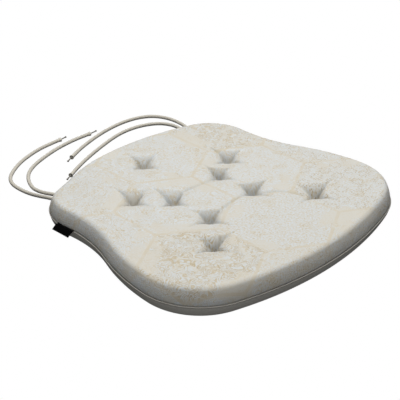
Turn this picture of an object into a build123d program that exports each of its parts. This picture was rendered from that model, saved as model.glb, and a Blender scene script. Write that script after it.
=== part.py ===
"""Chair seat pad: a tufted cushion with a seam welt, a side label and four tie cords.

Millimetres. X is the width, +Y the back edge with the ties, +Z up. The origin is the
centre of the pad's bounding box at its underside, where it rests.
"""
import os
from math import cos, pi, radians, sin, tan

from build123d import *

# ---- Driving dimensions -------------------------------------------------------------
PAD_THICKNESS = 42.0
PAD_BACK = 186.5          # back edge of the outline, on the centre line
SEAM_HEIGHT = 19.5        # where the top and bottom panels are sewn together
TOP_ROUND = 14.7          # rounding of the upper edge
BOTTOM_ROUND = 17.5       # rounding of the lower edge
# Right half of the outline, from the back centre to the front corner: tangent arcs as
# (radius, turn in degrees); a negative turn is the hollow of the waist.
OUTLINE_ARCS = [(366, 19.4), (66, 75.0), (190, -27.2), (266, 19.4), (86, 75.2)]

FABRIC = 0.9              # thickness of the cover cloth
LAYER_GAP = 0.1           # play between the layers
WADDING = 5.0             # thickness of the polyester wadding round the core
WELT_RADIUS = 0.9         # thin piping in the seam, its centre on the outline

# Tufts as (x, y): four mirrored pairs, each a little off the true mirror place, and one
# at the back on the centre line.
TUFTS = [
    (-4.5, 126.6), (-81.6, 65.3), (84.3, 56.8), (-47.3, 28.7), (42.2, 33.1),
    (-48.1, -35.0), (40.6, -25.7), (-90.8, -80.9), (90.0, -88.5),
]
TUFT_FLOOR = 26.0         # height of the bottom of the upper hollow
TUFT_MOUTH_RADIUS = 15.0
TUFT_FLOOR_RADIUS = 2.6
DIMPLE_DEPTH = 6.0        # shallow hollow on the underside
DIMPLE_RADIUS = 11.0
THREAD_RADIUS = 0.5
STITCH_SPAN = 2.8         # distance between the two strands of a tufting thread

TIE_RADIUS = 2.5
TIE_EXIT_HEIGHT = SEAM_HEIGHT - WELT_RADIUS - TIE_RADIUS - LAYER_GAP
TAIL_RADIUS = 1.0         # core thread that shows beyond the end ring
TAIL_LENGTH = 11.5
COLLAR_RADIUS = 3.3       # ring that binds the cut end of a tie
COLLAR_LENGTH = 2.6
COLLAR_OVERHANG = 0.8     # how far the ring stands beyond the cut end
COLLAR_STEP = 0.35        # its inner half is smaller than its lip by this much
TAIL_STRAIGHT = 3.0       # straight stretch of the tail before it bends
TAB_SIZE = (26.0, 7.0, 4.6)   # block of folded and bar-tacked cord ends inside the seam
TAB_ROUND = 1.0

LABEL_WIDTH = 29.5        # along the seam
LABEL_LENGTH = 9.0        # how far it stands out
LABEL_THICKNESS = 0.8
LABEL_DROOP = 32.0        # degrees below level
LABEL_Y = 96.6
LABEL_HINGE_X = -167.3
LABEL_HINGE_Z = SEAM_HEIGHT + WELT_RADIUS + 0.5 * LABEL_THICKNESS + LAYER_GAP
LABEL_TAB_DEPTH = 6.0     # sewn-in edge of the label, inside the cover
LABEL_HINGE_GAP = 0.75    # from the hinge line to the sewn-in edge


# ---- The pad's form -----------------------------------------------------------------
def half_outline():
    """Draw the right half of the outline into the current line builder."""
    point = (0, PAD_BACK)
    heading = 0.0
    for radius, turn in OUTLINE_ARCS:
        arc = JernArc(point, (cos(radians(heading)), sin(radians(heading))), radius, -turn)
        point = arc @ 1
        heading -= turn
    left_to_turn = heading + 180
    front_radius = point.X / sin(radians(left_to_turn))
    JernArc(point, (cos(radians(heading)), sin(radians(heading))), front_radius, -left_to_turn)


def pad_form(inset):
    """The pad's whole rounded form with its tufts, every face moved inwards by inset."""
    low = inset
    high = PAD_THICKNESS - inset
    with BuildPart() as form:
        with BuildSketch(Plane.XY.offset(low)):
            with BuildLine():
                half_outline()
                mirror(about=Plane.YZ)
            make_face()
            if inset:
                offset(amount=-inset)
        extrude(amount=high - low)
        fillet(form.faces().sort_by(Axis.Z)[-1].edges(), TOP_ROUND - inset)
        fillet(form.faces().sort_by(Axis.Z)[0].edges(), BOTTOM_ROUND - inset)
        with Locations(*[(x, y, high) for x, y in TUFTS]):
            Cone(TUFT_FLOOR_RADIUS + inset, TUFT_MOUTH_RADIUS + inset,
                 high - TUFT_FLOOR + inset, align=(Align.CENTER, Align.CENTER, Align.MAX),
                 mode=Mode.SUBTRACT)
        with Locations(*[(x, y, low) for x, y in TUFTS]):
            Cone(DIMPLE_RADIUS + inset, TUFT_FLOOR_RADIUS + inset, DIMPLE_DEPTH,
                 align=(Align.CENTER, Align.CENTER, Align.MIN), mode=Mode.SUBTRACT)
    return form.part


def thread_holes(radius):
    """Pierce the current part where the two strands of each tuft's thread pass."""
    with Locations(*[(x + side * STITCH_SPAN / 2, y, 0) for x, y in TUFTS for side in (-1, 1)]):
        Cylinder(radius, PAD_THICKNESS, align=(Align.CENTER, Align.CENTER, Align.MIN),
                 mode=Mode.SUBTRACT)


# Each layer's outer and inner faces, from the cover inwards.
cover_outside = pad_form(0)
cover_inside = pad_form(FABRIC)
wadding_outside = pad_form(FABRIC + LAYER_GAP)
wadding_inside = pad_form(FABRIC + LAYER_GAP + WADDING)
core_outside = pad_form(FABRIC + 2 * LAYER_GAP + WADDING)

# ---- Where the ties leave the seam ----------------------------------------------------
BACK_RADIUS = OUTLINE_ARCS[0][0]
TIE_X = 118.5             # middle of each pair, along the back edge
TIE_SPREAD = 10.4         # between the two ties of a pair
TIE_START = 4.5           # how far inside the seam a tie begins
TIE_STRAIGHT = 14.6       # straight stretch from there


def tie_exit(side):
    """Plane whose normal points out of the seam, midway between the ties of one side."""
    lean = TIE_X / BACK_RADIUS
    upright = (1 - lean ** 2) ** 0.5
    y = PAD_BACK - BACK_RADIUS * (1 - upright)
    return Plane(origin=(side * TIE_X, y, TIE_EXIT_HEIGHT),
                 x_dir=(upright, -side * lean, 0), z_dir=(side * lean, upright, 0))


def tie_rooms(clearance):
    """Cut room in the current part for both sewn-in tabs and the ties' hidden starts."""
    for side in (-1, 1):
        exit_plane = tie_exit(side)
        with Locations(exit_plane.offset(-TIE_START)):
            Box(TAB_SIZE[0] + 2 * clearance, TAB_SIZE[2] + 2 * clearance, TAB_SIZE[1] + 2 * clearance,
                align=(Align.CENTER, Align.CENTER, Align.MAX), mode=Mode.SUBTRACT)
        with Locations(exit_plane.offset(-TIE_START - clearance)):
            with Locations((-TIE_SPREAD / 2, 0), (TIE_SPREAD / 2, 0)):
                Box(2 * (TIE_RADIUS + clearance), 2 * (TIE_RADIUS + clearance), 4 * TIE_START,
                    align=(Align.CENTER, Align.CENTER, Align.MIN), mode=Mode.SUBTRACT)


def label_room(clearance):
    """Cut room in the current part for the sewn-in edge of the label."""
    with Locations((LABEL_HINGE_X, LABEL_Y, LABEL_HINGE_Z)):
        Box(4 * LABEL_TAB_DEPTH, LABEL_WIDTH + 2 * clearance, LABEL_THICKNESS + 2 * clearance,
            mode=Mode.SUBTRACT)



# ---- Cover, wadding and core ----------------------------------------------------------
parts = []


def keep(piece, label):
    """Name a finished piece and list it for export."""
    piece.part.label = label
    parts.append(piece.part)


with BuildPart() as top_panel:
    add(cover_outside)
    add(cover_inside, mode=Mode.SUBTRACT)
    split(bisect_by=Plane.XY.offset(SEAM_HEIGHT + WELT_RADIUS + LAYER_GAP), keep=Keep.TOP)
    thread_holes(THREAD_RADIUS + LAYER_GAP)
    label_room(LAYER_GAP)
keep(top_panel, "top_panel")

with BuildPart() as bottom_panel:
    add(cover_outside)
    add(cover_inside, mode=Mode.SUBTRACT)
    split(bisect_by=Plane.XY.offset(SEAM_HEIGHT - WELT_RADIUS - LAYER_GAP), keep=Keep.BOTTOM)
    thread_holes(THREAD_RADIUS + LAYER_GAP)
    tie_rooms(LAYER_GAP)
keep(bottom_panel, "bottom_panel")

with BuildPart() as upper_wadding:
    add(wadding_outside)
    add(wadding_inside, mode=Mode.SUBTRACT)
    split(bisect_by=Plane.XY.offset(SEAM_HEIGHT + LAYER_GAP / 2), keep=Keep.TOP)
    thread_holes(THREAD_RADIUS + LAYER_GAP)
    label_room(LAYER_GAP)
keep(upper_wadding, "upper_wadding")

with BuildPart() as lower_wadding:
    add(wadding_outside)
    add(wadding_inside, mode=Mode.SUBTRACT)
    split(bisect_by=Plane.XY.offset(SEAM_HEIGHT - LAYER_GAP / 2), keep=Keep.BOTTOM)
    thread_holes(THREAD_RADIUS + LAYER_GAP)
    tie_rooms(LAYER_GAP)
keep(lower_wadding, "lower_wadding")

with BuildPart() as foam_core:
    add(core_outside)
    thread_holes(THREAD_RADIUS + LAYER_GAP)
    tie_rooms(LAYER_GAP)
keep(foam_core, "foam_core")

with BuildPart() as seam_welt:
    with BuildLine(Plane.XY.offset(SEAM_HEIGHT)) as seam_line:
        half_outline()
        mirror(about=Plane.YZ)
    with BuildSketch(Plane(origin=(0, PAD_BACK, SEAM_HEIGHT), z_dir=(1, 0, 0))):
        Circle(WELT_RADIUS)
    sweep(path=seam_line.wires()[0])
keep(seam_welt, "seam_welt")

# ---- Tufting: a looped thread through each tuft, knotted on the underside --------------
KNOT_RADIUS = 2.3
KNOT_HEIGHT = 1.6
KNOT_TOP = DIMPLE_DEPTH - 0.8
STITCH_HEIGHT = TUFT_FLOOR + THREAD_RADIUS + 0.3
STITCH_BEND = 1.0

for number, (x, y) in enumerate(TUFTS, start=1):
    left, right = x - STITCH_SPAN / 2, x + STITCH_SPAN / 2
    with BuildPart() as tuft_thread:
        with BuildLine():
            loop = FilletPolyline((left, y, KNOT_TOP), (left, y, STITCH_HEIGHT),
                                  (right, y, STITCH_HEIGHT), (right, y, KNOT_TOP),
                                  radius=STITCH_BEND)
        with BuildSketch(Plane.XY.offset(KNOT_TOP)):
            with Locations((left, y)):
                Circle(THREAD_RADIUS)
        sweep(path=loop)
    keep(tuft_thread, f"tuft_thread_{number}")

    with BuildPart() as tuft_knot:
        with Locations((x, y, KNOT_TOP)):
            Cylinder(KNOT_RADIUS, KNOT_HEIGHT, align=(Align.CENTER, Align.CENTER, Align.MAX))
        fillet(tuft_knot.faces().sort_by(Axis.Z)[0].edges(), 0.45 * KNOT_HEIGHT)
    keep(tuft_knot, f"tuft_knot_{number}")

# ---- Label: a sewn-in edge and the blank flap that hangs from it -----------------------
with BuildPart() as label_tab:
    with Locations((LABEL_HINGE_X + LABEL_HINGE_GAP, LABEL_Y, LABEL_HINGE_Z)):
        Box(LABEL_TAB_DEPTH, LABEL_WIDTH, LABEL_THICKNESS, align=(Align.MIN, Align.CENTER, Align.CENTER))
keep(label_tab, "label_tab")

label_plane = Plane(
    origin=(LABEL_HINGE_X, LABEL_Y + LABEL_WIDTH / 2, LABEL_HINGE_Z),
    x_dir=(-cos(radians(LABEL_DROOP)), 0, -sin(radians(LABEL_DROOP))), z_dir=(0, -1, 0))
with BuildPart() as label_flap:
    with BuildSketch(label_plane):
        with Locations((LABEL_LENGTH / 2, 0)):
            SlotOverall(LABEL_LENGTH + LABEL_THICKNESS, LABEL_THICKNESS)
    extrude(amount=LABEL_WIDTH)
keep(label_flap, "label_flap")

# ---- Ties ------------------------------------------------------------------------------
# Each tie: its side, its place in the pair (-1 towards -X), the places that its route
# passes after the straight stretch, and the tip of the thin tail. All but the first
# places lie on the surface under the pad.
ON_FLOOR = TIE_RADIUS
END_HEIGHT = COLLAR_RADIUS + 0.1
TIES = {
    "left_outer": (-1, -1, [
        (-126.4, 193.7, 11.0), (-124.2, 213.9, 5.2), (-123.7, 233.5, ON_FLOOR),
        (-121.6, 256.5, ON_FLOOR), (-112.5, 275.5, ON_FLOOR), (-95.3, 290.0, ON_FLOOR),
        (-75.0, 302.7, ON_FLOOR), (-53.0, 312.0, ON_FLOOR), (-29.5, 317.7, ON_FLOOR),
        (-8.5, 318.8, ON_FLOOR), (10.0, 316.4, END_HEIGHT)], (23.4, 319.1, 2.0)),
    "left_inner": (-1, 1, [
        (-118.2, 196.8, 12.0), (-113.6, 214.3, 6.6), (-108.2, 231.0, ON_FLOOR),
        (-100.0, 249.6, ON_FLOOR), (-86.9, 267.0, ON_FLOOR), (-68.0, 279.8, ON_FLOOR),
        (-46.0, 289.0, ON_FLOOR), (-17.0, 297.2, ON_FLOOR), (10.5, 301.3, ON_FLOOR),
        (33.7, 302.2, ON_FLOOR), (52.3, 299.5, END_HEIGHT)], (67.4, 302.6, 2.0)),
    "right_inner": (1, -1, [
        (128.5, 191.0, 12.0), (146.5, 203.8, 6.2), (158.2, 221.3, ON_FLOOR),
        (156.4, 239.4, ON_FLOOR), (147.1, 254.1, ON_FLOOR), (128.6, 265.0, ON_FLOOR),
        (105.3, 270.5, ON_FLOOR), (79.0, 270.0, ON_FLOOR), (50.7, 263.2, ON_FLOOR),
        (18.8, 252.2, ON_FLOOR), (-10.0, 240.5, ON_FLOOR), (-31.5, 230.8, ON_FLOOR),
        (-51.6, 221.1, END_HEIGHT)], (-62.0, 217.0, 2.0)),
    "right_outer": (1, 1, [
        (138.5, 187.5, 12.0), (153.5, 198.8, 6.2), (167.0, 214.4, ON_FLOOR),
        (170.4, 234.4, ON_FLOOR), (169.0, 254.8, ON_FLOOR), (159.3, 274.9, ON_FLOOR),
        (141.5, 286.8, ON_FLOOR), (119.0, 291.9, ON_FLOOR), (93.5, 291.7, ON_FLOOR),
        (65.1, 287.6, ON_FLOOR), (33.0, 279.0, ON_FLOOR), (7.5, 270.3, ON_FLOOR),
        (-15.6, 261.1, END_HEIGHT)], (-26.6, 257.2, 2.0)),
}


def bend_radii(points):
    """Radius of the arc at each corner: as large as its two runs allow."""
    radii = []
    for before, corner, after in zip(points, points[1:], points[2:]):
        turn = (corner - before).get_angle(after - corner)
        shorter_run = min((corner - before).length, (after - corner).length)
        radii.append(0.45 * shorter_run / tan(radians(turn / 2)))
    return radii


for side, name in ((-1, "left"), (1, "right")):
    with BuildPart() as tie_tab:
        with Locations(tie_exit(side).offset(-TIE_START)):
            Box(TAB_SIZE[0], TAB_SIZE[2], TAB_SIZE[1], align=(Align.CENTER, Align.CENTER, Align.MAX))
        fillet(tie_tab.edges().filter_by(Axis.Z), TAB_ROUND)
    keep(tie_tab, f"tie_tab_{name}")

for name, (side, place, places, tip) in TIES.items():
    exit_plane = tie_exit(side)
    across = place * TIE_SPREAD / 2
    route = [exit_plane.from_local_coords(Vector(across, 0, -TIE_START)),
             exit_plane.from_local_coords(Vector(across, 0, TIE_STRAIGHT - TIE_START))]
    route += [Vector(*place_on_route) for place_on_route in places]
    radii = bend_radii(route)

    with BuildPart() as tie:
        with BuildLine():
            tie_path = FilletPolyline(*route, radius=radii)
        with BuildSketch(Plane(origin=tie_path @ 0, z_dir=tie_path % 0)):
            Circle(TIE_RADIUS)
        sweep(path=tie_path)
    keep(tie, f"tie_{name}")
    length = tie_path.length
    section = pi * TIE_RADIUS ** 2
    print(f"tie_{name}: length {length:.1f}, volume over section x length "
          f"{tie.part.volume / (section * length):.4f}, radii",
          [round(radius) for radius in radii])

    end, heading = tie_path @ 1, tie_path % 1
    with BuildPart() as tie_collar:
        with BuildSketch(Plane(origin=end - heading * (COLLAR_LENGTH - COLLAR_OVERHANG), z_dir=heading)):
            Circle(COLLAR_RADIUS - COLLAR_STEP)
            Circle(TIE_RADIUS + LAYER_GAP / 2, mode=Mode.SUBTRACT)
        extrude(amount=COLLAR_LENGTH / 2)
        with BuildSketch(Plane(origin=end - heading * (COLLAR_LENGTH / 2 - COLLAR_OVERHANG), z_dir=heading)):
            Circle(COLLAR_RADIUS)
            Circle(TIE_RADIUS + LAYER_GAP / 2, mode=Mode.SUBTRACT)
        extrude(amount=COLLAR_LENGTH / 2)
    keep(tie_collar, f"tie_collar_{name}")

    bend = end + heading * TAIL_STRAIGHT
    tail_route = [end, bend, Vector(*tip)]
    with BuildPart() as tie_tail:
        with BuildLine():
            tail_path = FilletPolyline(*tail_route, radius=bend_radii(tail_route))
        with BuildSketch(Plane(origin=end, z_dir=heading)):
            Circle(TAIL_RADIUS)
        sweep(path=tail_path)
        with Locations(Plane(origin=tip, z_dir=tail_path % 1)):
            Sphere(1.35 * TAIL_RADIUS)
    keep(tie_tail, f"tie_tail_{name}")

# ---- Export ----------------------------------------------------------------------------
os.makedirs("parts", exist_ok=True)
for piece in parts:
    export_step(piece, f"parts/{piece.label}.step")
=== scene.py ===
"""A tufted seat pad for a dining chair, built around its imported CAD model.

After the studio and the pad's shape, the sections follow the pad as it is put together: the
filling, the cover, the welt in the seam, the tufting threads, the side label and the ties.
"""
from math import cos, pi, radians, sin

import bpy
import numpy as np
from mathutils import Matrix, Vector


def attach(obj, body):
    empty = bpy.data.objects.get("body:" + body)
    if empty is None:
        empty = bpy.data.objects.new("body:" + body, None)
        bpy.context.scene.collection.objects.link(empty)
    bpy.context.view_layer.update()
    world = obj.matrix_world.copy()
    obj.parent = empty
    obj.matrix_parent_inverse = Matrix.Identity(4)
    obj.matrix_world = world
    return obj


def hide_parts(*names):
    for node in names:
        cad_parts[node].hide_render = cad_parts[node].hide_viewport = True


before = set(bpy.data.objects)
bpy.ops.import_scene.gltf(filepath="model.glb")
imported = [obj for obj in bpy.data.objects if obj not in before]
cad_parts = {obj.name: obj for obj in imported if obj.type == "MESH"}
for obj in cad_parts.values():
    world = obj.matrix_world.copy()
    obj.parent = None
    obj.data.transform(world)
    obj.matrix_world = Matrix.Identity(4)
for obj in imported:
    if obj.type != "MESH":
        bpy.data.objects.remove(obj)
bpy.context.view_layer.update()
MM = 0.001

# ---- Studio ------------------------------------------------------------------------------
# A long lens looks down on the pad from its front left. One wide soft box hangs overhead,
# so that level cloth is bright and upright cloth falls to grey. A weak fill at the front left
# and a dim sky lift the sides. The floor is plain white and lights nothing.
EYE = Vector((-0.93067, -0.86395, 0.73790))
AIM = Vector((0.0244, 0.0505, 0.0))
LENS_MM = 103.69

camera = bpy.data.objects.new("camera", bpy.data.cameras.new("camera"))
camera.data.lens = LENS_MM
camera.data.sensor_width = 36.0
camera.data.clip_end = 30.0
camera.location = EYE
camera.rotation_euler = (AIM - EYE).to_track_quat("-Z", "Y").to_euler()
bpy.context.scene.collection.objects.link(camera)
bpy.context.scene.camera = camera

SOFT_BOX_SIZE = 1.2
SOFT_BOX_PLACE = Vector((0.15, 0.15, 1.9))
SOFT_BOX_WATTS = 45.0
FILL_SIZE = 1.2
FILL_WATTS = 9.0
FILL_PLACE = Vector((-1.6, -1.7, 0.9))
LIGHTS_AIM = Vector((0, 0, 0.02))
SKY_COLOUR = (0.95, 0.97, 1.0, 1)
SKY_STRENGTH = 0.10


def soft_light(name, place, size, watts):
    """A square area light at a place, turned towards the pad."""
    light = bpy.data.objects.new(name, bpy.data.lights.new(name, "AREA"))
    light.data.size = size
    light.data.energy = watts
    light.location = place
    light.rotation_euler = (LIGHTS_AIM - place).to_track_quat("-Z", "Y").to_euler()
    bpy.context.scene.collection.objects.link(light)


soft_light("soft_box", SOFT_BOX_PLACE, SOFT_BOX_SIZE, SOFT_BOX_WATTS)
soft_light("fill", FILL_PLACE, FILL_SIZE, FILL_WATTS)

world = bpy.data.worlds.new("studio")
world.use_nodes = True
sky = world.node_tree.nodes["Background"]
sky.inputs["Color"].default_value = SKY_COLOUR
sky.inputs["Strength"].default_value = SKY_STRENGTH
bpy.context.scene.world = world
bpy.context.scene.view_settings.view_transform = "Standard"


def wire(tree, kind, inputs=None, **settings):
    """Add a shader node, with its settings, and fill its inputs with values or with sockets."""
    node = tree.nodes.new("ShaderNode" + kind)
    for name, value in settings.items():
        setattr(node, name, value)
    for key, value in (inputs or {}).items():
        if isinstance(value, bpy.types.NodeSocket):
            tree.links.new(value, node.inputs[key])
        else:
            node.inputs[key].default_value = value
    return node


def blank_material(name):
    """A new material with only its output, and its tree."""
    material = bpy.data.materials.new(name)
    material.use_nodes = True
    tree = material.node_tree
    tree.nodes.clear()
    tree.nodes.new("ShaderNodeOutputMaterial").name = "output"
    return material, tree


FLOOR_HALF = 8.0
FLOOR_GLOW = 1.0
FLOOR_DROP = 0.1 * MM     # keeps the floor clear of the faces that rest on it
floor_paint, tree = blank_material("white_floor")
glow = wire(tree, "Emission", {"Color": (1, 1, 1, 1), "Strength": FLOOR_GLOW})
tree.links.new(glow.outputs[0], tree.nodes["output"].inputs["Surface"])
floor_mesh = bpy.data.meshes.new("floor")
corners = [(x * FLOOR_HALF, y * FLOOR_HALF, -FLOOR_DROP)
           for x, y in ((-1, -1), (1, -1), (1, 1), (-1, 1))]
floor_mesh.from_pydata(corners, [], [(0, 1, 2, 3)])
floor_mesh.materials.append(floor_paint)
floor = bpy.data.objects.new("floor", floor_mesh)
floor.visible_diffuse = False
floor.visible_glossy = False
bpy.context.scene.collection.objects.link(floor)

# ---- Shape of the pad --------------------------------------------------------------------
# Two panels of furnishing jacquard, cut to the pad's outline and sewn round the seam. The
# filling crowns them, and nine tufting threads pull them in: each tuft is a pinched point
# from which four folds run out along the width and the depth of the pad.
THICKNESS = 42.0 * MM
SEAM_HEIGHT = 19.5 * MM
SEAM_TUCK = 1.7 * MM      # how far the cloth dips in towards the welt
TUCK_REACH = 2.6 * MM     # how far from the seam the dip begins
CROWN = 1.0 * MM          # rise of the top panel from its rounded edge to its middle
FLAT_SHARE = 0.857        # share of the way out that is level; the rest goes round the edge
# Each panel turns from level to its seam in two arcs: a radius, and a turn in degrees. The
# top panel has a tight upper edge and a long, nearly straight side that leans in.
TOP_ARCS = [(7.5, 64), (48.8, 22)]
LOW_ARCS = [(19.0, 64), (19.6, 26)]
OUTLINE_BACK = 186.5 * MM
# Right half of the outline from the back centre, as tangent arcs: radius, turn in degrees.
OUTLINE_ARCS = [(366, 19.4), (66, 75.0), (190, -27.2), (266, 19.4), (86, 75.2)]


def outline(step=0.25 * MM):
    """Points and outward normals round the pad, from the back centre clockwise.

    Each arc starts where the last one ended, in its direction. The last arc closes the
    half at the centre line, and the left half is the mirror of the right.
    """
    place = np.array([0.0, OUTLINE_BACK])
    heading = 0.0
    arcs = [(radius * MM, radians(turn)) for radius, turn in OUTLINE_ARCS]
    points, normals = [], []
    for number in range(len(arcs) + 1):
        if number == len(arcs):
            turn = pi + heading
            radius = place[0] / sin(turn)
        else:
            radius, turn = arcs[number]
        steps = max(2, int(radius * abs(turn) / step))
        sweep = heading - turn * np.arange(steps) / steps
        side = np.sign(turn)
        centre = place + side * radius * np.array([sin(heading), -cos(heading)])
        outward = np.stack([-np.sin(sweep), np.cos(sweep)], 1)
        points.append(centre + side * radius * outward)
        normals.append(outward)
        heading -= turn
        place = centre + side * radius * np.array([-sin(heading), cos(heading)])
    points, normals = np.concatenate(points), np.concatenate(normals)
    flip = np.array([-1.0, 1.0])
    points = np.concatenate([points, [place], points[:0:-1] * flip])
    normals = np.concatenate([normals, [[0.0, -1.0]], normals[:0:-1] * flip])
    return points, normals


rim_points, rim_normals = outline()
rim_angles = np.arctan2(rim_points[:, 1], rim_points[:, 0])


def rim_at(angle):
    """Outline point and outward normal in the direction of an angle from the middle."""
    columns = [np.interp(angle, rim_angles, values, period=2 * pi)
               for values in (*rim_points.T, *rim_normals.T)]
    place, normal = np.stack(columns[:2], -1), np.stack(columns[2:], -1)
    return place, normal / np.linalg.norm(normal, axis=-1, keepdims=True)


def edge_profile(arcs):
    """Outward and down along a panel's edge, and its length, from its arcs.

    The outward distance starts inside the outline, so that the last arc ends on it. Near
    the seam the cloth is tucked in, by the square of how near it is.
    """
    arcs = [(radius * MM, radians(turn)) for radius, turn in arcs]
    length = sum(radius * turn for radius, turn in arcs)

    def follow(along):
        outward, down, slope = np.zeros_like(along), np.zeros_like(along), 0.0
        for radius, turn in arcs:
            bend = np.clip(along, 0, radius * turn) / radius
            along = along - bend * radius
            outward = outward + radius * (np.sin(slope + bend) - sin(slope))
            down = down + radius * (cos(slope) - np.cos(slope + bend))
            slope += turn
        return outward, down

    inset = follow(np.array(length))[0]

    def profile(along):
        outward, down = follow(along)
        tuck = SEAM_TUCK * np.clip(1 - (length - along) / TUCK_REACH, 0, 1) ** 2
        return outward - inset - tuck, down

    return profile, length


def panel_grid(cells, flat_share, arcs):
    """Points of one panel, as (x, y, distance from its level part), on a square grid.

    A square ring of the grid goes to a ring of the outline's shape. Up to flat_share of
    the way out the rings fill the level part, and beyond it they follow the edge arcs.
    Also returns where each point lies on the flat cloth, and which ring it is in.
    """
    profile, profile_length = edge_profile(arcs)
    line = np.linspace(-1, 1, cells + 1)
    u, v = np.meshgrid(line, line, indexing="ij")
    ring = np.maximum(abs(u), abs(v))
    safe = np.where(ring > 0, ring, 1)
    wide = abs(u) >= abs(v)
    angle = np.where(wide, pi / 4 * v / safe * np.sign(u) + np.where(u < 0, pi, 0),
                     pi / 2 * np.sign(v) - pi / 4 * u / safe * np.sign(v))
    edge, normal = rim_at(angle)
    along = np.clip((ring - flat_share) / (1 - flat_share), 0, 1) * profile_length
    outward, down = profile(along)
    start = profile(np.zeros(1))[0]
    level = edge + normal * start
    share = np.clip(ring / flat_share, 0, 1)[..., None]
    beyond = (ring > flat_share)[..., None]
    flat = np.where(beyond, level + normal * along[..., None], level * share)
    place = np.where(beyond, edge + normal * outward[..., None], level * share)
    return np.dstack([place, down]), flat, ring


TOP_CELLS = 400
BOTTOM_CELLS = 200
top, top_flat, top_ring = panel_grid(TOP_CELLS, FLAT_SHARE, TOP_ARCS)
bottom, bottom_flat, _ = panel_grid(BOTTOM_CELLS, FLAT_SHARE, LOW_ARCS)
top[..., 2] = THICKNESS - top[..., 2]

# Tufts, as (x, y) in millimetres, and their four folds as (direction in degrees, length in
# millimetres): the two arms behind the pinched point, then the two creases in front of it.
TUFTS = [
    ((-4.5, 126.6), ((3, 30), (94, 27), (190, 27), (269, 27))),
    ((-81.6, 65.3), ((-3, 31), (91, 31), (192, 31), (268, 28))),
    ((84.3, 56.8), ((-6, 26), (90, 29), (188, 31), (271, 32))),
    ((-47.3, 28.7), ((0, 31), (93, 33), (193, 30), (267, 26))),
    ((42.2, 33.1), ((-8, 20), (93, 23), (193, 32), (268, 31))),
    ((-48.1, -35.0), ((-2, 32), (106, 23), (184, 36), (269, 34))),
    ((40.6, -25.7), ((-3, 33), (110, 25), (190, 28), (268, 36))),
    ((-90.8, -80.9), ((-6, 35), (104, 24), (187, 33), (267, 30))),
    ((90.0, -88.5), ((2, 36), (107, 28), (193, 38), (270, 34))),
]
TUFT_DEPTH = 21.0 * MM
NEAR_REACH = 12.0 * MM    # how quickly the slope in front of a pinched point rises
WALL_WIDTH = 2.4 * MM     # how quickly a puff of cloth rises beside a fold
SAG = 6.5 * MM            # how far the puffs beside a tuft sink with it
FOLD_DEPTH = 5.4 * MM
FOLD_WIDTH = 1.5 * MM
ARM_SHARE = 0.8           # share of an arm's length that the slope behind the tuft takes up
SOFT_BROW = 0.012
SLOPE_POWER = 1.45

# Creases that run on from one tuft to the next, as points in millimetres.
LINK_WIDTH = 7 * MM
LINKS = [
    ((-23, 31), (-13, 29), (-2, 27.5), (10, 26), (20, 27), (32, 32)),
    ((-26, -35), (-9, -32), (11, -31), (26, -30), (36, -27)),
    ((35, -36), (45.5, -46.8), (55.8, -54.5), (62.9, -64.9), (67.5, -77.4), (72, -88), (82, -90)),
]


def fold_frame(dx, dy, azimuth):
    """Distance along a fold and beside it, positive on its anticlockwise side."""
    along = dx * cos(azimuth) + dy * sin(azimuth)
    beside = dy * cos(azimuth) - dx * sin(azimuth)
    return along, beside


def slack(share):
    """A share eased so that the cloth turns gently over the brow of a slope.

    The mean of the share and of the root of its square plus SOFT_BROW stays above nought,
    where the share itself would go below it. It is then raised to SLOPE_POWER.
    """
    return ((share + np.sqrt(share ** 2 + SOFT_BROW)) / 2) ** SLOPE_POWER


def tuft_drop(x, y):
    """How far the tufts pull the top panel down at each place.

    Behind a pinched point the cloth is one flat slope between two arms. In front of it a
    rounded slope rises to a lip. On both sides puffs of cloth stand high right up to the
    folds, and each fold has a narrow groove that fades out at its end.
    """
    drop = np.zeros_like(x)
    for (tuft_x, tuft_y), folds in TUFTS:
        dx, dy = x - tuft_x * MM, y - tuft_y * MM
        distance = np.hypot(dx, dy)
        azimuths = [radians(direction) for direction, _ in folds]
        lengths = [length * MM for _, length in folds]
        right_arm, left_arm = lengths[0] * ARM_SHARE, lengths[1] * ARM_SHARE
        angle = (np.arctan2(dy, dx) - azimuths[0]) % (2 * pi)
        spans = [azimuth - azimuths[0] for azimuth in azimuths]

        _, off_right = fold_frame(dx, dy, azimuths[0])
        _, off_left = fold_frame(dx, dy, azimuths[1])
        t = (off_right / left_arm - off_left / right_arm) / sin(spans[1])
        behind = TUFT_DEPTH * slack(1 - t)

        before = TUFT_DEPTH * np.exp(-distance / NEAR_REACH)
        puff = SAG * np.exp(-distance / (11 * MM))
        for azimuth in azimuths[2:]:
            _, beside = fold_frame(dx, dy, azimuth)
            puff = puff + np.maximum(before - puff, 0) * np.exp(-abs(beside) / (5 * MM))
        groove = np.zeros_like(x)
        for number, (azimuth, length) in enumerate(zip(azimuths, lengths)):
            along, beside = fold_frame(dx, dy, azimuth)
            beside = np.where(along > 0, abs(beside), distance)
            if number < 2:
                depth = TUFT_DEPTH * slack(1 - along / (ARM_SHARE * length))
                puff = np.maximum(puff, puff + (depth - puff) * np.exp(-beside / WALL_WIDTH))
            fade = np.clip(1 - along / (1.15 * length), 0, 1) ** 0.7 * np.clip(along / (8 * MM), 0, 1)
            groove = np.maximum(groove, FOLD_DEPTH * fade * np.exp(-beside / FOLD_WIDTH))

        shape = np.where(angle < spans[1], behind,
                         np.where((angle > spans[2]) & (angle < spans[3]), before, puff))
        drop = np.maximum(drop, shape + groove)
    return drop


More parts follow.
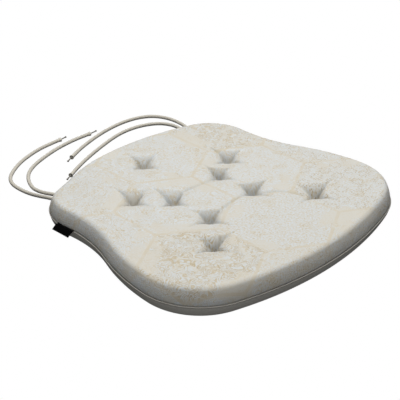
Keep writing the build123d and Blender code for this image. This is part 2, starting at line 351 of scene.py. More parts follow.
def link_groove(x, y):
    """Depth of the creases from tuft to tuft: narrow, deepest at both ends."""
    groove = np.zeros_like(x)
    for link in LINKS:
        points = np.array(link) * MM
        for number, (start, end) in enumerate(zip(points, points[1:])):
            way = end - start
            share = np.clip(((x - start[0]) * way[0] + (y - start[1]) * way[1]) / (way @ way), 0, 1)
            off = np.hypot(x - start[0] - share * way[0], y - start[1] - share * way[1])
            middle = 1 - abs(2 * (number + share) / (len(points) - 1) - 1)
            depth = FOLD_DEPTH * (1.3 - 0.5 * middle)
            sharp, wide = np.exp(-off / FOLD_WIDTH), np.exp(-off / LINK_WIDTH)
            groove = np.maximum(groove, depth * (0.6 * sharp + 0.4 * wide))
    return groove


top[..., 2] += CROWN * np.clip(1 - (top_ring / FLAT_SHARE) ** 2, 0, 1)
pulled = np.maximum(tuft_drop(top[..., 0], top[..., 1]), link_groove(top[..., 0], top[..., 1]))
top[..., 2] -= pulled
# Share of the tuft depth at each top point; it sets the painted shade in the tufts.
tuft_shade_depth = np.clip(pulled / TUFT_DEPTH, 0, 1)

# The back left corner is drawn down by the ties sewn in there.
CORNER = np.array([-116, 162]) * MM
CORNER_DIP = 7.0 * MM
CORNER_REACH = 38 * MM
TOP_RISE = 22 * MM        # from the seam to the level part; the seam itself is not drawn down
from_corner = np.hypot(top[..., 0] - CORNER[0], top[..., 1] - CORNER[1])
above_seam = (top[..., 2] - SEAM_HEIGHT) / TOP_RISE
top[..., 2] -= CORNER_DIP * np.exp(-(from_corner / CORNER_REACH) ** 2) * above_seam

# Under each tuft the bottom panel is drawn up into a shallow dimple with a soft rim.
DIMPLE_DEPTH = 6.0 * MM
DIMPLE_REACH = 16.0 * MM
for (tuft_x, tuft_y), _ in TUFTS:
    distance = np.hypot(bottom[..., 0] - tuft_x * MM, bottom[..., 1] - tuft_y * MM)
    bottom[..., 2] += DIMPLE_DEPTH * (1 - np.clip(distance / DIMPLE_REACH, 0, 1)) ** 2


# ---- Filling -----------------------------------------------------------------------------
# A foam core between two sheets of white polyester wadding, pulled in with the cover at
# every tuft. They stay hidden, so they follow its shape on a coarser grid.


def noise_finish(name, low, high, scale, rough=0.95, bump=0.3, gloss=0.3):
    """A matte finish whose colour wanders between two tones, with a bump of the same grain."""
    material, tree = blank_material(name)
    place = wire(tree, "TexCoord").outputs["Object"]
    grain = wire(tree, "TexNoise", {"Vector": place, "Scale": scale, "Detail": 4.0})
    tone = wire(tree, "Mix", {"Factor": grain.outputs["Fac"], "A": low, "B": high}, data_type="RGBA")
    relief = wire(tree, "Bump", {"Height": grain.outputs["Fac"], "Strength": bump, "Distance": 0.4 * MM})
    skin = wire(tree, "BsdfPrincipled", {"Base Color": tone.outputs["Result"], "Roughness": rough,
                                         "Specular IOR Level": gloss, "Normal": relief.outputs["Normal"]})
    tree.links.new(skin.outputs[0], tree.nodes["output"].inputs["Surface"])
    return material


def finish_nodes(names, material):
    """Give CAD nodes a finish in place of their plain one."""
    for name in names:
        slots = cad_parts[name].data.materials
        slots.clear()
        slots.append(material)


TUBE_END = 10             # a face with this many corners or more closes the end of a tube


def mesh_piece(name, points, faces, materials, smooth=True):
    """A mesh object at the origin from points in metres and faces, linked to the scene.

    Its faces are smooth, except for those that close the end of a tube.
    """
    mesh = bpy.data.meshes.new(name)
    mesh.from_pydata(np.asarray(points, float).reshape(-1, 3).tolist(), [], faces)
    for material in materials:
        mesh.materials.append(material)
    if smooth:
        mesh.polygons.foreach_set("use_smooth", [len(face) < TUBE_END for face in faces])
    mesh.update()
    piece = bpy.data.objects.new(name, mesh)
    bpy.context.scene.collection.objects.link(piece)
    return piece


def under_cloth(panel, spacing, side, lift, reach=5):
    """A panel's points pulled in towards the middle of the pad at the height of the seam.

    Their distance from it shrinks to the shares side and lift. Each height is first
    brought as far in as any within a few cells, so no filling shows in a crease.
    """
    height = panel[..., 2] - SEAM_HEIGHT
    windows = np.lib.stride_tricks.sliding_window_view(np.pad(abs(height), reach, "edge"),
                                                       (2 * reach + 1, 2 * reach + 1))
    height = np.sign(height.sum()) * windows.min((2, 3)) * lift
    sunk = np.dstack([panel[..., :2] * side, SEAM_HEIGHT + height])
    return sunk[::spacing, ::spacing]


def filling_piece(name, upper, lower, material):
    """Closed piece between two grids of points, with a thin wall round their edges."""
    side = len(upper)
    index = np.arange(side ** 2).reshape(side, side)
    quads = np.stack([index[:-1, :-1], index[1:, :-1], index[1:, 1:], index[:-1, 1:]], -1).reshape(-1, 4)
    edge = np.concatenate([index[:-1, 0], index[-1, :-1], index[:0:-1, -1], index[0, :0:-1]])
    ahead = np.roll(edge, -1)
    walls = np.stack([edge + side ** 2, ahead + side ** 2, ahead, edge], -1)
    faces = np.concatenate([quads, quads[:, ::-1] + side ** 2, walls]).tolist()
    points = np.concatenate([upper.reshape(-1, 3), lower.reshape(-1, 3)])
    piece = mesh_piece(f"{name}_sheet", points, faces, [material])
    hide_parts(name)
    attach(piece, "pad")


foam = noise_finish("open_cell_foam", (0.74, 0.66, 0.42, 1), (0.86, 0.80, 0.58, 1), 900)
fibre = noise_finish("polyester_fibre", (0.80, 0.80, 0.79, 1), (0.93, 0.93, 0.92, 1), 350, bump=0.7)
SEAM_GAP = np.array([0, 0, 0.1 * MM])
filling_piece("upper_wadding", under_cloth(top, 4, 0.992, 0.95) + SEAM_GAP,
              under_cloth(top, 4, 0.975, 0.73) + SEAM_GAP, fibre)
filling_piece("lower_wadding", under_cloth(bottom, 2, 0.975, 0.73) - SEAM_GAP,
              under_cloth(bottom, 2, 0.992, 0.95) - SEAM_GAP, fibre)
filling_piece("foam_core", under_cloth(top, 4, 0.973, 0.725) + SEAM_GAP,
              under_cloth(bottom, 2, 0.973, 0.725) - SEAM_GAP, foam)

# ---- Cover -------------------------------------------------------------------------------
# Two panels of furnishing cloth sewn together round the seam: a jacquard of hexagons above,
# each woven with its own figure, and plain canvas below.


def cover_faces():
    """Faces of the top panel, of the bottom panel, and which points they use.

    The bottom grid is half as fine, so its cells along the seam take the top grid's seam
    points as corners and as extra points on their seam edges.
    """
    index = np.arange((TOP_CELLS + 1) ** 2).reshape(TOP_CELLS + 1, TOP_CELLS + 1)
    top_quads = np.stack([index[:-1, :-1], index[1:, :-1], index[1:, 1:], index[:-1, 1:]], -1)
    low = index.size + np.arange((BOTTOM_CELLS + 1) ** 2).reshape(BOTTOM_CELLS + 1, BOTTOM_CELLS + 1)
    for edge in (np.s_[0, :], np.s_[-1, :], np.s_[:, 0], np.s_[:, -1]):
        low[edge] = index[::2, ::2][edge]
    none = np.full((BOTTOM_CELLS, BOTTOM_CELLS), -1)
    mid_front, mid_right, mid_back, mid_left = none.copy(), none.copy(), none.copy(), none.copy()
    mid_front[:, 0] = index[1::2, 0]
    mid_right[-1, :] = index[-1, 1::2]
    mid_back[:, -1] = index[1::2, -1]
    mid_left[0, :] = index[0, 1::2]
    cells = np.stack([low[:-1, :-1], mid_front, low[1:, :-1], mid_right,
                      low[1:, 1:], mid_back, low[:-1, 1:], mid_left], -1)[..., ::-1]
    used = np.zeros(index.size + low.size, bool)
    used[:index.size] = True
    used[low] = True
    renumber = np.cumsum(used) - 1
    low_faces = [[renumber[point] for point in cell if point >= 0] for cell in cells.reshape(-1, 8)]
    return top_quads.reshape(-1, 4).tolist(), low_faces, used


# The cloth is woven in hexagons 76 mm on a side, each with its own density of scrolls,
# with a narrow beige band along their borders.
HEX_SIDE = 76.0 * MM
HEX_MIDDLE = np.array([5.0, 10.0]) * MM
HEX_TURN = radians(2.0)


def hexagons(flat):
    """Distance to the nearest hexagon border, and which column and row of hexagons."""
    x, y = (flat - HEX_MIDDLE)[..., 0], (flat - HEX_MIDDLE)[..., 1]
    x, y = x * cos(HEX_TURN) - y * sin(HEX_TURN), x * sin(HEX_TURN) + y * cos(HEX_TURN)
    wide, tall = HEX_SIDE * 3 ** 0.5, HEX_SIDE * 3
    found = []
    for half in (0.0, 0.5):
        column = np.round(x / wide - 0.5 - half)
        row = np.round(y / tall - half)
        dx, dy = x - (column + 0.5 + half) * wide, y - (row + half) * tall
        found.append((dx ** 2 + dy ** 2, dx, dy, 2 * column + 1 + 2 * half, 2 * row + 2 * half))
    nearer = found[0][0] < found[1][0]
    dx, dy, column, row = (np.where(nearer, a, b) for a, b in zip(found[0][1:], found[1][1:]))
    reach = np.maximum(abs(dx), abs(dx) / 2 + abs(dy) * 3 ** 0.5 / 2)
    return HEX_SIDE * 3 ** 0.5 / 2 - reach, column, row


top_faces, low_faces, used = cover_faces()
flat_cloth = np.concatenate([top_flat.reshape(-1, 2), bottom_flat.reshape(-1, 2)])[used]
border, column, row = hexagons(flat_cloth)

# What each hexagon is woven with, by its column and row: how strong its scrolls, its fine
# speckle, its dots and its beige cast are.
PLAIN_WEAVE = (0.65, 0.38, 0.0, -0.10)
WEAVES = {
    (2, 1): (1.00, 0.25, 0.0, 0.10), (-2, -1): (1.05, 0.25, 0.0, 0.12),
    (2, -1): (0.35, 0.60, 1.2, -0.05), (0, -1): (0.30, 0.75, 0.0, -0.03),
    (1, 0): (0.62, 0.42, 0.0, -0.07), (-1, 0): (0.75, 0.36, 0.0, -0.10),
    (0, 1): (0.70, 0.36, 0.0, -0.06), (-2, 1): (0.70, 0.42, 0.0, -0.04),
    (1, -2): (0.45, 0.35, 0.0, 0.08), (-1, -2): (0.45, 0.40, 0.4, 0.08),
    (3, 0): (0.45, 0.50, 1.0, -0.05), (-3, 0): (0.72, 0.42, 0.0, -0.06),
}
weave = np.tile(PLAIN_WEAVE, (len(flat_cloth), 1))
for (hex_column, hex_row), strengths in WEAVES.items():
    weave[(column == hex_column) & (row == hex_row)] = strengths


# Painted shade: cloth deep in a tuft is darkened, down to this share of its tone, for the shade in its
# hollow.
TUFT_SHADE_TONE = 0.75
painted_tuft_shade = np.zeros(len(flat_cloth))
painted_tuft_shade[:tuft_shade_depth.size] = tuft_shade_depth.ravel()


def cover_cloth():
    """Jacquard of scrolls, specks and rings of dots.

    They add up to a field from -1 (tan) to 1 (bluish white), which gives the colour and a
    slight relief. The scrolls are the contour lines of a slow noise. Some cloth near the
    borders is plain, and cloth deep in a tuft is darkened as painted shade.
    """
    material, tree = blank_material("hexagon_jacquard")

    def math(kind, a, b=0.0, c=0.0):
        return wire(tree, "Math", {0: a, 1: b, 2: c}, operation=kind).outputs[0]

    def attribute(name):
        return wire(tree, "Attribute", attribute_name=name).outputs["Fac"]

    flat = wire(tree, "UVMap", uv_map="cloth").outputs["UV"]
    slow = wire(tree, "TexNoise", {"Vector": flat, "Scale": 84, "Detail": 1.0, "Roughness": 0.45,
                                   "Distortion": 1.6}, noise_dimensions="2D").outputs["Fac"]
    waves = math("SINE", math("MULTIPLY", slow, 30.0))
    curls = wire(tree, "MapRange", {0: waves, 1: -0.15, 2: 0.55, 3: 0.26, 4: -0.62}).outputs[0]
    broken = wire(tree, "TexNoise", {"Vector": flat, "Scale": 95, "Detail": 2.0},
                  noise_dimensions="2D").outputs["Fac"]
    strokes = wire(tree, "MapRange", {0: broken, 1: 0.34, 2: 0.46, 3: 0.15, 4: 1.0}).outputs[0]
    scrolls = math("MULTIPLY", curls, strokes)
    fine = wire(tree, "TexNoise", {"Vector": flat, "Scale": 400, "Detail": 3.0, "Roughness": 0.7},
                noise_dimensions="2D").outputs["Fac"]
    speckle = math("MULTIPLY", math("SUBTRACT", fine, 0.5), 5.0)
    dots = wire(tree, "TexVoronoi", {"Vector": flat, "Scale": 300, "Randomness": 0.6},
                voronoi_dimensions="2D").outputs["Distance"]
    rings = wire(tree, "TexVoronoi", {"Vector": flat, "Scale": 44, "Randomness": 0.35},
                 voronoi_dimensions="2D").outputs["Distance"]
    in_ring = math("COMPARE", rings, 0.30, 0.10)
    flowers = math("MULTIPLY", math("LESS_THAN", dots, 0.26), in_ring)
    cloudy = wire(tree, "TexNoise", {"Vector": flat, "Scale": 38, "Detail": 2.0},
                  noise_dimensions="2D").outputs["Fac"]
    blotch = wire(tree, "MapRange", {0: cloudy, 1: 0.60, 2: 0.64, 3: 0.0, 4: 0.22}).outputs[0]

    field = math("MULTIPLY", scrolls, attribute("scroll"))
    field = math("MULTIPLY_ADD", speckle, attribute("speckle"), field)
    field = math("SUBTRACT", field, math("MULTIPLY", flowers, attribute("dots")))
    field = math("SUBTRACT", field, attribute("warmth"))
    field = math("SUBTRACT", field, blotch)
    patchy = wire(tree, "TexNoise", {"Vector": flat, "Scale": 15, "Detail": 2.0},
                  noise_dimensions="2D").outputs["Fac"]
    near_border = wire(tree, "MapRange", {0: attribute("border"), 1: 16 * MM, 2: 22 * MM,
                                          3: 0.75, 4: 0.0}).outputs[0]
    plain = wire(tree, "MapRange", {0: patchy, 1: 0.53, 2: 0.57, 3: 0.0, 4: near_border}).outputs[0]
    field = wire(tree, "Mix", {0: plain, 2: field, 3: -0.24}).outputs[0]
    band = wire(tree, "MapRange", {0: attribute("border"), 1: 1.6 * MM, 2: 2.6 * MM, 3: 1.0, 4: 0.0},
                interpolation_type="SMOOTHSTEP").outputs[0]
    worn = wire(tree, "MapRange", {0: cloudy, 1: 0.35, 2: 0.65, 3: 0.85, 4: 0.35}).outputs[0]
    field = wire(tree, "Mix", {0: math("MULTIPLY", band, worn), 2: field, 3: -0.52}).outputs[0]

    ramp = wire(tree, "ValToRGB", {0: math("MULTIPLY_ADD", field, 0.5, 0.5)})
    tones = [(0.0, (0.47, 0.39, 0.26)), (0.22, (0.57, 0.51, 0.39)), (0.40, (0.60, 0.575, 0.51)),
             (0.56, (0.59, 0.605, 0.595)), (1.0, (0.66, 0.69, 0.72))]
    stops = ramp.color_ramp.elements
    for number, (place, tone) in enumerate(tones):
        stop = stops[number] if number < 2 else stops.new(place)
        stop.position = place
        stop.color = (*tone, 1)

    across = wire(tree, "SeparateXYZ", {0: flat})
    yarns = [math("SINE", math("MULTIPLY", across.outputs[axis], 2 * pi / (0.75 * MM))) for axis in (0, 1)]
    weave_relief = math("MULTIPLY", yarns[0], yarns[1])
    relief = math("MULTIPLY_ADD", weave_relief, 0.35, field)
    bump = wire(tree, "Bump", {"Height": relief, "Strength": 0.8, "Distance": 0.3 * MM})
    # Painted shade: the deeper the cloth lies in a tuft, the darker its tone.
    painted_shade = wire(tree, "MapRange", {0: attribute("fold"), 1: 0.20, 2: 0.60,
                                      3: 1.0, 4: TUFT_SHADE_TONE}).outputs[0]
    tone = wire(tree, "VectorMath", {0: ramp.outputs[0], 1: painted_shade}, operation="MULTIPLY").outputs[0]
    skin = wire(tree, "BsdfPrincipled", {"Base Color": tone, "Roughness": 0.82,
                                         "Sheen Weight": 0.12, "Sheen Roughness": 0.5,
                                         "Normal": bump.outputs[0]})
    tree.links.new(skin.outputs[0], tree.nodes["output"].inputs["Surface"])
    return material


def lining_cloth():
    """Plain canvas of the underside: a fine over and under weave, slightly slubbed."""
    material, tree = blank_material("plain_canvas")
    flat = wire(tree, "UVMap", uv_map="cloth").outputs["UV"]
    across = wire(tree, "SeparateXYZ", {0: flat})
    yarns = [wire(tree, "Math", {0: wire(tree, "Math", {0: across.outputs[axis], 1: 2 * pi / (0.9 * MM)},
                                         operation="MULTIPLY").outputs[0]}, operation="SINE").outputs[0]
             for axis in (0, 1)]
    woven = wire(tree, "Math", {0: yarns[0], 1: yarns[1]}, operation="MULTIPLY").outputs[0]
    slub = wire(tree, "TexNoise", {"Vector": flat, "Scale": 420, "Detail": 3.0}).outputs["Fac"]
    tone = wire(tree, "Mix", {"Factor": slub, "A": (0.46, 0.44, 0.39, 1), "B": (0.60, 0.58, 0.53, 1)},
                data_type="RGBA").outputs["Result"]
    bump = wire(tree, "Bump", {"Height": woven, "Strength": 0.6, "Distance": 0.10 * MM})
    skin = wire(tree, "BsdfPrincipled", {"Base Color": tone, "Roughness": 0.9, "Normal": bump.outputs[0]})
    tree.links.new(skin.outputs[0], tree.nodes["output"].inputs["Surface"])
    return material


cover = mesh_piece("cushion_cover", np.concatenate([top.reshape(-1, 3), bottom.reshape(-1, 3)])[used],
                   top_faces + low_faces, [cover_cloth(), lining_cloth()])


def cloth_layer(piece, flat, floats):
    """Store a piece's place on the flat cloth as its UV map, and named values at its points."""
    mesh = piece.data
    corner = np.empty(len(mesh.loops), np.int32)
    mesh.loops.foreach_get("vertex_index", corner)
    layer = mesh.uv_layers.new(name="cloth")
    layer.uv.foreach_set("vector", flat[corner].astype(np.float32).ravel())
    for name, values in floats.items():
        mesh.attributes.new(name, "FLOAT", "POINT").data.foreach_set("value", values.astype(np.float32))


# The fold value darkens the cloth deep in the tufts as painted shade.
cloth_layer(cover, flat_cloth, {"border": border, "scroll": weave[:, 0], "speckle": weave[:, 1],
                                "dots": weave[:, 2], "warmth": weave[:, 3], "fold": painted_tuft_shade})
panel_of_face = np.repeat([0, 1], [len(top_faces), len(low_faces)])
cover.data.polygons.foreach_set("material_index", panel_of_face)
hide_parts("top_panel", "bottom_panel")
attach(cover, "pad")

# ---- Seam welt ---------------------------------------------------------------------------
# A thin bias-cut piping sewn between the panels all the way round, a little proud of them.
WELT_RADIUS = 0.9 * MM
WELT_SIDES = 10


def tube(path, radii, sides, closed=False, up=(0, 0, 1)):
    """Points and faces of a tube along a path.

    Round each path point stands a ring of sides points, in the plane square to the path, at
    the radius given for it, which may differ from point to point round the ring. An open
    tube is closed by a flat face at both ends.
    """
    path = np.asarray(path, float)
    ahead = np.roll(path, -1, 0) - np.roll(path, 1, 0)
    if not closed:
        ahead[0], ahead[-1] = path[1] - path[0], path[-1] - path[-2]
    ahead /= np.linalg.norm(ahead, axis=1, keepdims=True)
    sideways = np.cross(ahead, np.broadcast_to(up, ahead.shape))
    sideways /= np.linalg.norm(sideways, axis=1, keepdims=True)
    upward = np.cross(sideways, ahead)
    turn = 2 * pi * np.arange(sides) / sides
    radii = np.broadcast_to(np.asarray(radii, float), (len(path), sides))[..., None]
    ring = sideways[:, None] * np.cos(turn)[:, None] + upward[:, None] * np.sin(turn)[:, None]
    points = path[:, None] + ring * radii
    index = np.arange(len(path) * sides).reshape(len(path), sides)
    nxt = np.roll(index, -1, 0) if closed else index[1:]
    here = index if closed else index[:-1]
    faces = np.stack([here, np.roll(here, -1, 1), np.roll(nxt, -1, 1), nxt], -1).reshape(-1, 4).tolist()
    if not closed:
        faces += [index[0, ::-1].tolist(), index[-1].tolist()]
    return points.reshape(-1, 3), faces


def distances(path):
    """Distance along a path of points at each of them."""
    return np.concatenate([[0], np.cumsum(np.linalg.norm(np.diff(path, axis=0), axis=1))])


# Painted shade: the piping is the cover's own cloth, but its tones are set well below the cover's so that
# its proud ridge looks less lit.
welt_cloth_shaded = noise_finish("piping_cloth_shaded", (0.30, 0.285, 0.25, 1), (0.42, 0.40, 0.36, 1), 700, rough=0.88)
seam_line = rim_points[::6]
seam_path = np.column_stack([seam_line, np.full(len(seam_line), SEAM_HEIGHT)])
welt = mesh_piece("seam_piping", *tube(seam_path, WELT_RADIUS, WELT_SIDES, closed=True), [welt_cloth_shaded])
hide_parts("seam_welt")
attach(welt, "pad")

# ---- Tufting threads ---------------------------------------------------------------------
# Waxed thread goes down and up through each tuft and is knotted in the dimple below.
thread_finish = noise_finish("waxed_thread", (0.50, 0.46, 0.38, 1), (0.66, 0.62, 0.53, 1), 1500, rough=0.6)
finish_nodes([f"tuft_{part}_{number}" for part in ("thread", "knot") for number in range(1, 10)],
             thread_finish)

# ---- Side label --------------------------------------------------------------------------
# A blank black label woven in taffeta: one strip folded in two, so that its fold is outside
# and both cut ends are caught in the left seam just above the welt.
LABEL_HINGE = np.array([-167.3, 96.6, 20.9]) * MM
LABEL_WIDTH = 29.5 * MM
LABEL_LENGTH = 9.0 * MM
LABEL_DROOP = radians(32)
LEAF = 0.34 * MM          # thickness of one leaf
SLIT = 0.1 * MM           # between the two leaves
LABEL_BULGE = 0.25 * MM   # how far the leaves bow out halfway along
LABEL_CURL = 0.35 * MM    # how far the outer corners turn
LABEL_STEPS = 14          # points along each leaf
LABEL_ROWS = 25           # points across the label


def taffeta(name, low, high, pitch):
    """Plain weave: two sets of ribs at right angles, where each crossing is over or under."""
    material, tree = blank_material(name)
    cloth = wire(tree, "SeparateXYZ", {0: wire(tree, "UVMap", uv_map="cloth").outputs["UV"]})
    ribs = []
    for axis in (0, 1):
        turns = wire(tree, "Math", {0: cloth.outputs[axis], 1: 2 * pi / pitch}, operation="MULTIPLY")
        ribs.append(wire(tree, "Math", {0: turns.outputs[0]}, operation="SINE").outputs[0])
    over = wire(tree, "Math", {0: ribs[0], 1: ribs[1]}, operation="MULTIPLY").outputs[0]
    share = wire(tree, "MapRange", {0: over, 1: -1.0, 2: 1.0, 3: 0.0, 4: 1.0}).outputs[0]
    tone = wire(tree, "Mix", {"Factor": share, "A": low, "B": high}, data_type="RGBA")
    bump = wire(tree, "Bump", {"Height": over, "Strength": 0.5, "Distance": 0.05 * MM})
    skin = wire(tree, "BsdfPrincipled", {"Base Color": tone.outputs["Result"], "Roughness": 0.75,
                                         "Specular IOR Level": 0.03, "Normal": bump.outputs[0]})
    tree.links.new(skin.outputs[0], tree.nodes["output"].inputs["Surface"])
    return material


def label_strip():
    """Points, faces and cloth places of the folded strip.

    Its middle line runs out along the upper leaf, round the fold and back along the lower
    leaf. The points stand half a leaf to either side of that line, at even steps of width.
    """
    centre = (LEAF + SLIT) / 2
    out = np.linspace(0, LABEL_LENGTH, LABEL_STEPS)
    bend = np.linspace(pi / 2, -pi / 2, 9)[1:-1]
    fold = np.column_stack([LABEL_LENGTH + centre * np.cos(bend), centre * np.sin(bend)])
    line = np.concatenate([np.column_stack([out, np.full(LABEL_STEPS, centre)]), fold,
                           np.column_stack([out[::-1], np.full(LABEL_STEPS, -centre)])])
    ahead = np.gradient(line, axis=0)
    square = np.column_stack([-ahead[:, 1], ahead[:, 0]]) / np.linalg.norm(ahead, axis=1, keepdims=True)
    ring = np.concatenate([line + square * LEAF / 2, (line - square * LEAF / 2)[::-1]])
    length = distances(line)
    length = np.concatenate([length, length[::-1]])
    ring[:, 1] += LABEL_BULGE * np.sin(pi * ring[:, 0] / LABEL_LENGTH)
    across = np.linspace(-0.5, 0.5, LABEL_ROWS) * LABEL_WIDTH
    outward = np.array([-cos(LABEL_DROOP), -sin(LABEL_DROOP)])
    upward = np.array([-sin(LABEL_DROOP), cos(LABEL_DROOP)])
    curl = LABEL_CURL * (2 * across / LABEL_WIDTH) ** 2
    points = []
    for width, lift in zip(across, curl):
        place = ring[:, :1] * outward + (ring[:, 1:] - lift * ring[:, :1] / LABEL_LENGTH) * upward
        points.append(np.column_stack([place[:, 0], np.full(len(ring), width), place[:, 1]]))
    index = np.arange(len(ring) * LABEL_ROWS).reshape(LABEL_ROWS, len(ring))
    ahead = np.roll(index, -1, 1)
    faces = np.stack([index[:-1], index[1:], ahead[1:], ahead[:-1]], -1).reshape(-1, 4)
    half = len(line)
    ends = []
    for row, flip in ((index[0], 1), (index[-1], -1)):
        left, right = row[:half], row[half:][::-1]
        cap = np.stack([left[:-1], left[1:], right[1:], right[:-1]], -1)
        ends.append(cap[:, ::flip])
    faces = np.concatenate([faces, *ends])
    flat = np.column_stack([np.tile(length, LABEL_ROWS), np.repeat(across, len(ring))])
    return np.concatenate(points) + LABEL_HINGE, faces.tolist(), flat


BLACKS = ((0.0005, 0.0005, 0.0006, 1), (0.0015, 0.0015, 0.0016, 1))
label_cloth = taffeta("black_taffeta", *BLACKS, 0.55 * MM)
label_points, label_faces, label_flat = label_strip()
label = mesh_piece("folded_label", label_points, label_faces, [label_cloth], smooth=False)
cloth_layer(label, label_flat, {})
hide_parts("label_flap")
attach(label, "label")
finish_nodes(["label_tab"], noise_finish("black_tape", *BLACKS, 1600, rough=0.8, gloss=0.12))

# ---- Ties --------------------------------------------------------------------------------
# Round braided cotton cords, folded and tacked inside the seam at the back corners. Each
# lies loose on the surface behind the pad and ends in a flared ring and a thin core.
TIE_RADIUS = 2.5
ON_FLOOR = TIE_RADIUS
END_HEIGHT = 3.4          # the ring lifts the cord's end a little
STRANDS = 8               # carriers of the braid; half of them wind each way
TIE_SIDES = 40
TIE_STEP = 0.4 * MM
RING_BACK, RING_LIP = -2.2 * MM, 0.3 * MM   # ends of the ring, from the cord's cut end
RING_TURNS = 5
CORE_RADIUS = 0.85 * MM
CORE_KNOT = 1.35 * MM
KNOT_FROM_TIP = 1.2 * MM
CORE_LAY = 4 * MM         # length of one turn of the two plies
# Tips of the cores beyond the rings, then where the left ties start; the right ties mirror
# them. Each route starts in the seam and its places are given in millimetres.
TIE_TAILS = {
    "left_outer": (23.4, 319.1, 2.0), "left_inner": (67.4, 302.6, 2.0),
    "right_inner": (-62.0, 217.0, 2.0), "right_outer": (-26.6, 257.2, 2.0),
}
LEFT_STARTS = {"outer": [(-121.90, 161.01, 15.99), (-126.63, 174.82, 15.99)],
               "inner": [(-112.06, 164.38, 15.99), (-116.79, 178.19, 15.99)]}
TIES = {
    "left_outer": [
        (-126.4, 193.7, 11.0), (-124.2, 213.9, 5.2), (-123.7, 233.5, ON_FLOOR),
        (-123.0, 256.8, ON_FLOOR), (-114.0, 275.4, ON_FLOOR), (-96.3, 289.5, ON_FLOOR),
        (-75.6, 301.5, ON_FLOOR), (-53.4, 309.6, ON_FLOOR), (-29.7, 315.4, ON_FLOOR),
        (-8.6, 317.0, ON_FLOOR), (10.0, 315.6, END_HEIGHT)],
    "left_inner": [
        (-118.4, 196.9, 12.0), (-114.5, 214.7, 6.6), (-109.6, 231.7, ON_FLOOR),
        (-101.4, 250.7, ON_FLOOR), (-87.6, 268.2, ON_FLOOR), (-68.3, 280.6, ON_FLOOR),
        (-46.0, 289.0, ON_FLOOR), (-17.0, 297.2, ON_FLOOR), (10.5, 301.3, ON_FLOOR),
        (33.7, 302.2, ON_FLOOR), (52.3, 299.5, END_HEIGHT)],
    "right_inner": [
        (128.5, 191.0, 12.0), (146.5, 203.8, 6.2), (158.2, 221.3, ON_FLOOR),
        (156.4, 239.4, ON_FLOOR), (147.1, 254.1, ON_FLOOR), (128.6, 265.0, ON_FLOOR),
        (105.3, 270.2, ON_FLOOR), (79.3, 269.0, ON_FLOOR), (51.4, 262.0, ON_FLOOR),
        (19.1, 251.9, ON_FLOOR), (-10.2, 241.2, ON_FLOOR), (-31.9, 231.6, ON_FLOOR),
        (-51.6, 221.1, END_HEIGHT)],
    "right_outer": [
        (138.5, 187.5, 12.0), (153.5, 198.8, 6.2), (167.0, 214.4, ON_FLOOR),
        (170.9, 235.4, ON_FLOOR), (170.0, 256.6, ON_FLOOR), (160.6, 277.2, ON_FLOOR),
        (142.5, 289.4, ON_FLOOR), (119.2, 294.4, ON_FLOOR), (93.0, 294.1, ON_FLOOR),
        (64.1, 289.8, ON_FLOOR), (32.0, 281.0, ON_FLOOR), (6.7, 272.1, ON_FLOOR),
        (-15.6, 261.1, END_HEIGHT)],
}
tie_cloth = noise_finish("braided_cotton", (0.42, 0.39, 0.33, 1), (0.58, 0.55, 0.48, 1), 900, rough=0.85)
finish_nodes(["tie_tab_left", "tie_tab_right"], tie_cloth)
ring_finish = noise_finish("whipped_ring", (0.52, 0.49, 0.42, 1), (0.68, 0.65, 0.57, 1), 1200, rough=0.8)
core_finish = noise_finish("bare_core", (0.16, 0.15, 0.13, 1), (0.26, 0.245, 0.21, 1), 1200, rough=0.85)


def tie_line(name, places):
    """The smooth line of a tie: a NURBS spline whose control points are its places."""
    curve = bpy.data.curves.new(f"{name}_line", "CURVE")
    curve.dimensions = "3D"
    spline = curve.splines.new("NURBS")
    spline.points.add(len(places) - 1)
    spline.points.foreach_set("co", [value for place in places for value in (*(MM * x for x in place), 1)])
    spline.order_u = 3
    spline.use_endpoint_u = True
    spline.resolution_u = 24
    holder = bpy.data.objects.new(f"{name}_line", curve)
    bpy.context.scene.collection.objects.link(holder)
    bpy.context.view_layer.update()
    mesh = bpy.data.meshes.new_from_object(holder)
    points = np.empty(len(mesh.vertices) * 3)
    mesh.vertices.foreach_get("co", points)
    bpy.data.objects.remove(holder)
    return points.reshape(-1, 3)


def braided(path, radius, sides):
    """Radii of a braided cord: two families of ridges wind round it in opposite senses."""
    along = distances(path)[:, None]
    turn = 2 * pi * np.arange(sides) / sides
    wind = STRANDS / 2 / radius
    ridges = [abs(np.cos(STRANDS / 2 * turn + sense * 0.8 * wind * along)) for sense in (-1, 1)]
    return radius * (0.990 + 0.012 * np.maximum(*ridges))


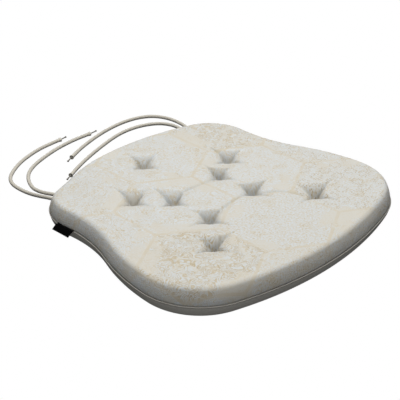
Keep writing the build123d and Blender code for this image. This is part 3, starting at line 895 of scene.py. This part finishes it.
def wound_ring(centre, heading, radius):
    """A flared ring of wound thread round the end of a cord, as a closed ring of sections.

    The section goes out along the inner wall and back along the outside, which widens
    towards the lip and shows each turn of the thread as a ridge.
    """
    inner = np.column_stack([np.linspace(RING_BACK, RING_LIP, 8), np.full(8, radius + 0.06 * MM)])
    outside = np.linspace(RING_LIP, RING_BACK, 27)
    flare = (outside - RING_BACK) / (RING_LIP - RING_BACK)
    ridges = 0.10 * MM * abs(np.sin(RING_TURNS * pi * flare))
    outer = np.column_stack([outside, radius + (0.32 + 0.40 * flare ** 2) * MM + ridges])
    section = np.concatenate([inner, outer])
    sideways = np.cross(heading, (0, 0, 1))
    sideways /= np.linalg.norm(sideways)
    upward = np.cross(sideways, heading)
    turn = 2 * pi * np.arange(TIE_SIDES)[:, None, None] / TIE_SIDES
    out = sideways * np.cos(turn) + upward * np.sin(turn)
    points = centre + section[:, :1] * heading + section[:, 1:] * out
    index = np.arange(TIE_SIDES * len(section)).reshape(TIE_SIDES, -1)
    nxt, ahead = np.roll(index, -1, 0), np.roll(index, -1, 1)
    faces = np.stack([index, ahead, np.roll(nxt, -1, 1), nxt], -1).reshape(-1, 4)
    return points.reshape(-1, 3), faces.tolist()


def core_tail(end, heading, tip):
    """The bare core beyond the ring: two twisted plies, ending in a small knot."""
    share = np.linspace(0, 1, 60)[:, None]
    bend = end + 3.0 * MM * heading
    path = (1 - share) ** 2 * end + 2 * share * (1 - share) * bend + share ** 2 * tip
    along = distances(path)[:, None]
    turn = 2 * pi * np.arange(20) / 20
    radii = CORE_RADIUS * (1 + 0.14 * np.cos(2 * turn + along * 2 * pi / CORE_LAY))
    knot = 1 - ((along[-1] - KNOT_FROM_TIP - along) / CORE_KNOT) ** 2
    radii = np.maximum(radii * np.clip((along[-1] - along) / (0.5 * MM), 0.3, 1),
                       CORE_KNOT * np.sqrt(np.clip(knot, 0, 1)))
    return tube(path, radii, 20)


for name, places in TIES.items():
    side, place = name.split("_")
    mirror = np.array([1 if side == "left" else -1, 1, 1])
    starts = [tuple(mirror * start) for start in LEFT_STARTS[place]]
    line = tie_line(name, starts + places)
    along = distances(line)
    length = along[-1]
    even = np.linspace(0, length, int(length / TIE_STEP))
    path = np.column_stack([np.interp(even, along, line[:, axis]) for axis in range(3)])
    shape = tube(path, braided(path, TIE_RADIUS * MM, TIE_SIDES), TIE_SIDES)
    tie = mesh_piece(f"cord_{name}", *shape, [tie_cloth])
    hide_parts(f"tie_{name}")
    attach(tie, "pad")
    heading = (path[-1] - path[-5]) / np.linalg.norm(path[-1] - path[-5])
    tip = np.array(TIE_TAILS[name]) * MM
    for part, shape, finish in (("collar", wound_ring(path[-1], heading, TIE_RADIUS * MM), ring_finish),
                                ("tail", core_tail(path[-1], heading, tip), core_finish)):
        end = mesh_piece(f"{part}_{name}", *shape, [finish])
        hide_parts(f"tie_{part}_{name}")
        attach(end, "pad")
